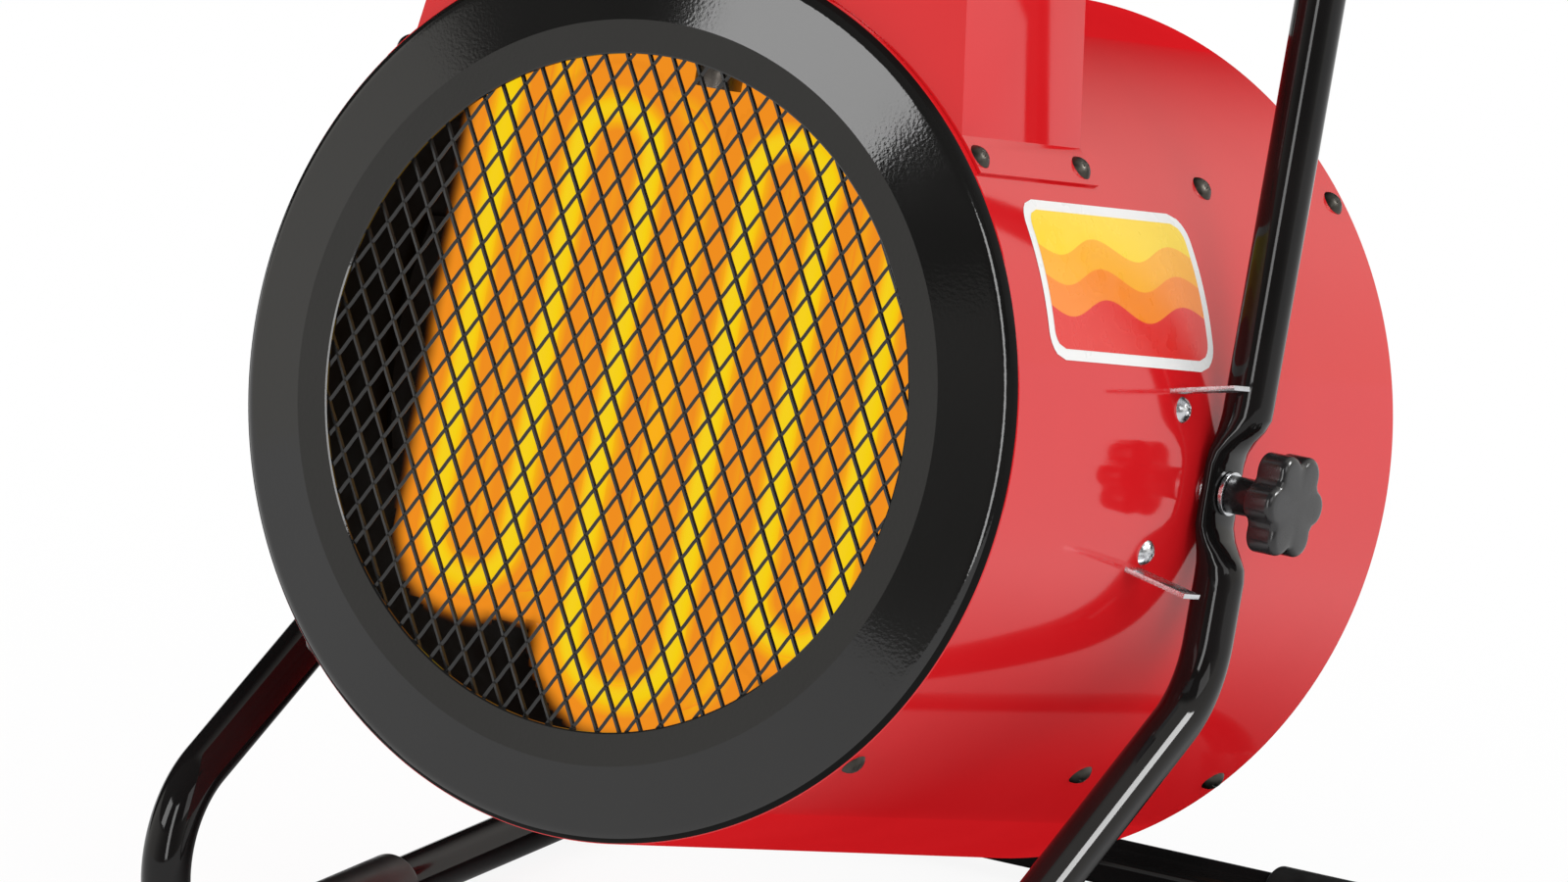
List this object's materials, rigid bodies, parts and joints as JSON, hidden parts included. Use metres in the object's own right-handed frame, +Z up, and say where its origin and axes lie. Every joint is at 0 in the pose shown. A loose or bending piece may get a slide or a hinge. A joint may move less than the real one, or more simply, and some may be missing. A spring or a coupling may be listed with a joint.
{
  "type": "fan heater",
  "caption": "Portable electric fan heater: red drum with glowing elements behind an expanded-metal front, tilting between the uprights of a black tube stand with a carrying handle",
  "frame": {"origin": "On the floor, under the middle of the bounding box of the heater as it stands", "axes": "+Z up, the hot-air outlet faces -Y, +X is the heater's left side, on the right seen from the front"},
  "size_m": [0.3468, 0.3229, 0.4352],
  "materials": {
    "tube_paint": "gloss black paint",
    "foot_rubber": "matt black rubber",
    "red_paint": "gloss red paint",
    "ring_paint": "satin black paint",
    "guard_paint": "black paint",
    "element_sheath": "steel sheath glowing yellow-orange",
    "tray_steel": "plain sheet steel",
    "bright_zinc": "bright zinc plate",
    "dark_zinc": "black zinc plate",
    "knob_plastic": "black moulding",
    "black_plastic": "black moulding",
    "terminal_ceramic": "glazed ceramic",
    "control_steel": "plain sheet steel",
    "motor_casting": "cast, unpainted",
    "fan_aluminium": "pressed sheet"
  },
  "bodies": {
    "stand": {"handle_bar": "tube_paint", "upright_left": "tube_paint", "upright_right": "tube_paint", "leg_left": "tube_paint", "leg_right": "tube_paint", "rail_left": "tube_paint", "rail_right": "tube_paint", "rear_bar": "tube_paint", "front_foot_left": "foot_rubber", "front_foot_right": "foot_rubber", "rear_foot_left": "foot_rubber", "rear_foot_right": "foot_rubber"},
    "heater": {"drum": "red_paint", "front_ring": "ring_paint", "front_grille": "guard_paint", "front_element": "element_sheath", "rear_element": "element_sheath", "terminal_tray": "tray_steel", "element_nuts": "bright_zinc", "thermal_cutout": "control_steel", "terminal_block": "terminal_ceramic", "control_box": "red_paint", "cable_gland": "black_plastic", "selector_switch": "black_plastic", "thermostat": "control_steel", "stop_bracket_left": "bright_zinc", "stop_bracket_right": "bright_zinc", "pivot_nuts": "bright_zinc", "pivot_spacers": "bright_zinc", "bracket_screws": "bright_zinc", "drum_screws": "dark_zinc", "box_screws": "dark_zinc", "motor_bracket": "guard_paint", "motor": "motor_casting", "motor_bolts": "bright_zinc", "rear_ring": "ring_paint", "rear_guard": "guard_paint"},
    "fan": {"fan_impeller": "fan_aluminium", "fan_shaft": "bright_zinc", "fan_nut": "bright_zinc"},
    "left_knob": {"clamp_knob_left": "knob_plastic", "clamp_stud_left": "bright_zinc", "clamp_washer_left": "bright_zinc"},
    "right_knob": {"clamp_knob_right": "knob_plastic", "clamp_stud_right": "bright_zinc", "clamp_washer_right": "bright_zinc"},
    "selector": {"selector_dial": "knob_plastic", "selector_spindle": "bright_zinc"},
    "thermostat_control": {"thermostat_dial": "knob_plastic", "thermostat_spindle": "bright_zinc"}
  },
  "joints": [
    {"name": "tilt", "type": "hinge", "parent": "stand", "child": "heater", "pos_m": [0, -0.00154, 0.1951], "axis": [1, 0, 0], "range_deg": [-10, 10]},
    {"name": "fan_spin", "type": "hinge", "parent": "heater", "child": "fan", "pos_m": [0, -0.00154, 0.1951], "axis": [0, 0.9659, -0.2588], "continuous": true},
    {"name": "left_clamp", "type": "hinge", "parent": "heater", "child": "left_knob", "pos_m": [-0.162, -0.00154, 0.1951], "axis": [-1, 0, 0], "range_deg": [0, 360]},
    {"name": "right_clamp", "type": "hinge", "parent": "heater", "child": "right_knob", "pos_m": [0.162, -0.00154, 0.1951], "axis": [1, 0, 0], "range_deg": [0, 360]},
    {"name": "selector_turn", "type": "hinge", "parent": "heater", "child": "selector", "pos_m": [-0.048, -0.03864, 0.38932], "axis": [0, 0.2588, 0.9659], "range_deg": [-180, 0]},
    {"name": "thermostat_turn", "type": "hinge", "parent": "heater", "child": "thermostat_control", "pos_m": [0.048, -0.03864, 0.38932], "axis": [0, 0.2588, 0.9659], "range_deg": [-270, 0]}
  ]
}
